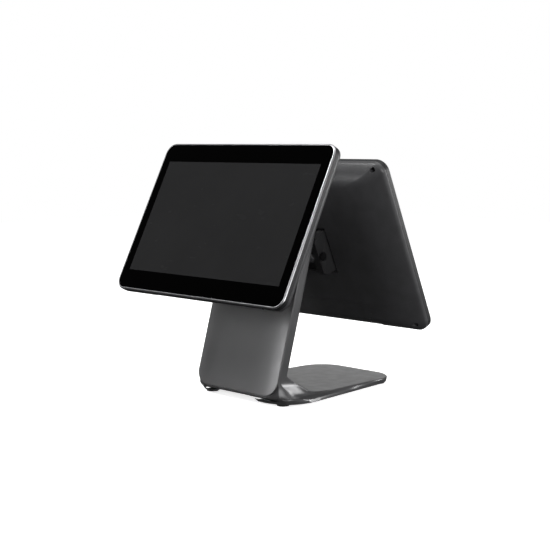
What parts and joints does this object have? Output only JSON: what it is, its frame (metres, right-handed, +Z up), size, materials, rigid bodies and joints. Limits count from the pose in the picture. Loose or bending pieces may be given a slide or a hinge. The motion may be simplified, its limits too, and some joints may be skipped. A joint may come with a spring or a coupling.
{
  "type": "pos touchscreen terminal",
  "caption": "Two-sided checkout terminal: operator touchscreen and customer display, back to back, each tilting on a leaning column with a flat foot.",
  "frame": {"origin": "on the floor, under the middle of the bounding box", "axes": "+Z up, operator screen faces -Y, customer screen faces +Y, +X to the operator's right"},
  "size_m": [0.384, 0.385, 0.4042],
  "materials": {
    "dark_plastic": "fine moulded texture, dark grey",
    "satin_plastic": "satin dark grey",
    "rim_metal": "satin silver rim",
    "cover_glass": "gloss black backed glass",
    "lcd": "dark display stack",
    "sheet_steel": "zinc plated sheet",
    "cast_metal": "dark painted casting",
    "pin_steel": "turned steel",
    "aluminium": "bare aluminium",
    "screw_steel": "black oxide",
    "socket_metal": "tinned socket shells",
    "board": "green solder mask",
    "rubber": "matt black rubber"
  },
  "bodies": {
    "stand": {"stand_shell": "dark_plastic", "column_cap": "dark_plastic", "column_front_cover": "satin_plastic", "base_plate": "sheet_steel", "column_spine": "sheet_steel", "hinge_hub": "cast_metal", "foot_front_left": "rubber", "foot_front_right": "rubber", "foot_rear_left": "rubber", "foot_rear_right": "rubber", "base_screw_1": "screw_steel", "base_screw_2": "screw_steel", "hub_bolt_1": "screw_steel", "hub_bolt_2": "screw_steel", "main_hinge_pin": "pin_steel", "main_washer_left": "aluminium", "main_washer_right": "aluminium", "second_hinge_pin": "pin_steel", "second_washer_left": "aluminium", "second_washer_right": "aluminium"},
    "main_head": {"main_frame": "rim_metal", "main_touch_glass": "cover_glass", "main_lcd_panel": "lcd", "main_chassis_plate": "sheet_steel", "main_rear_shell": "dark_plastic", "main_port_cover": "dark_plastic", "main_ports": "socket_metal", "main_hinge_bracket": "cast_metal", "main_bracket_screw_1": "screw_steel", "main_shell_screw_1": "screw_steel", "main_bracket_screw_2": "screw_steel", "main_shell_screw_2": "screw_steel", "main_bracket_screw_3": "screw_steel", "main_shell_screw_3": "screw_steel", "main_bracket_screw_4": "screw_steel", "main_shell_screw_4": "screw_steel", "main_mainboard": "board", "main_button_board": "board", "main_heatsink": "aluminium", "main_speaker_left": "dark_plastic", "main_speaker_right": "dark_plastic"},
    "second_head": {"second_frame": "rim_metal", "second_touch_glass": "cover_glass", "second_lcd_panel": "lcd", "second_chassis_plate": "sheet_steel", "second_rear_shell": "dark_plastic", "second_port_cover": "dark_plastic", "second_ports": "socket_metal", "second_hinge_bracket": "cast_metal", "second_bracket_screw_1": "screw_steel", "second_shell_screw_1": "screw_steel", "second_bracket_screw_2": "screw_steel", "second_shell_screw_2": "screw_steel", "second_bracket_screw_3": "screw_steel", "second_shell_screw_3": "screw_steel", "second_bracket_screw_4": "screw_steel", "second_shell_screw_4": "screw_steel", "second_driver_board": "board"},
    "power_button": {"main_power_button": "satin_plastic"}
  },
  "joints": [
    {"name": "main_tilt", "type": "hinge", "parent": "stand", "child": "main_head", "pos_m": [0, -0.08212, 0.26193], "axis": [1, 0, 0], "range_deg": [-12, 22]},
    {"name": "second_tilt", "type": "hinge", "parent": "stand", "child": "second_head", "pos_m": [0, 0.04242, 0.22228], "axis": [1, 0, 0], "range_deg": [-20, 8]},
    {"name": "power_press", "type": "slide", "parent": "main_head", "child": "power_button", "axis": [0, 0.4504, 0.8928], "range_m": [0, 0.001], "stiffness_N_per_m": 1500, "springref_m": -0.0008}
  ]
}
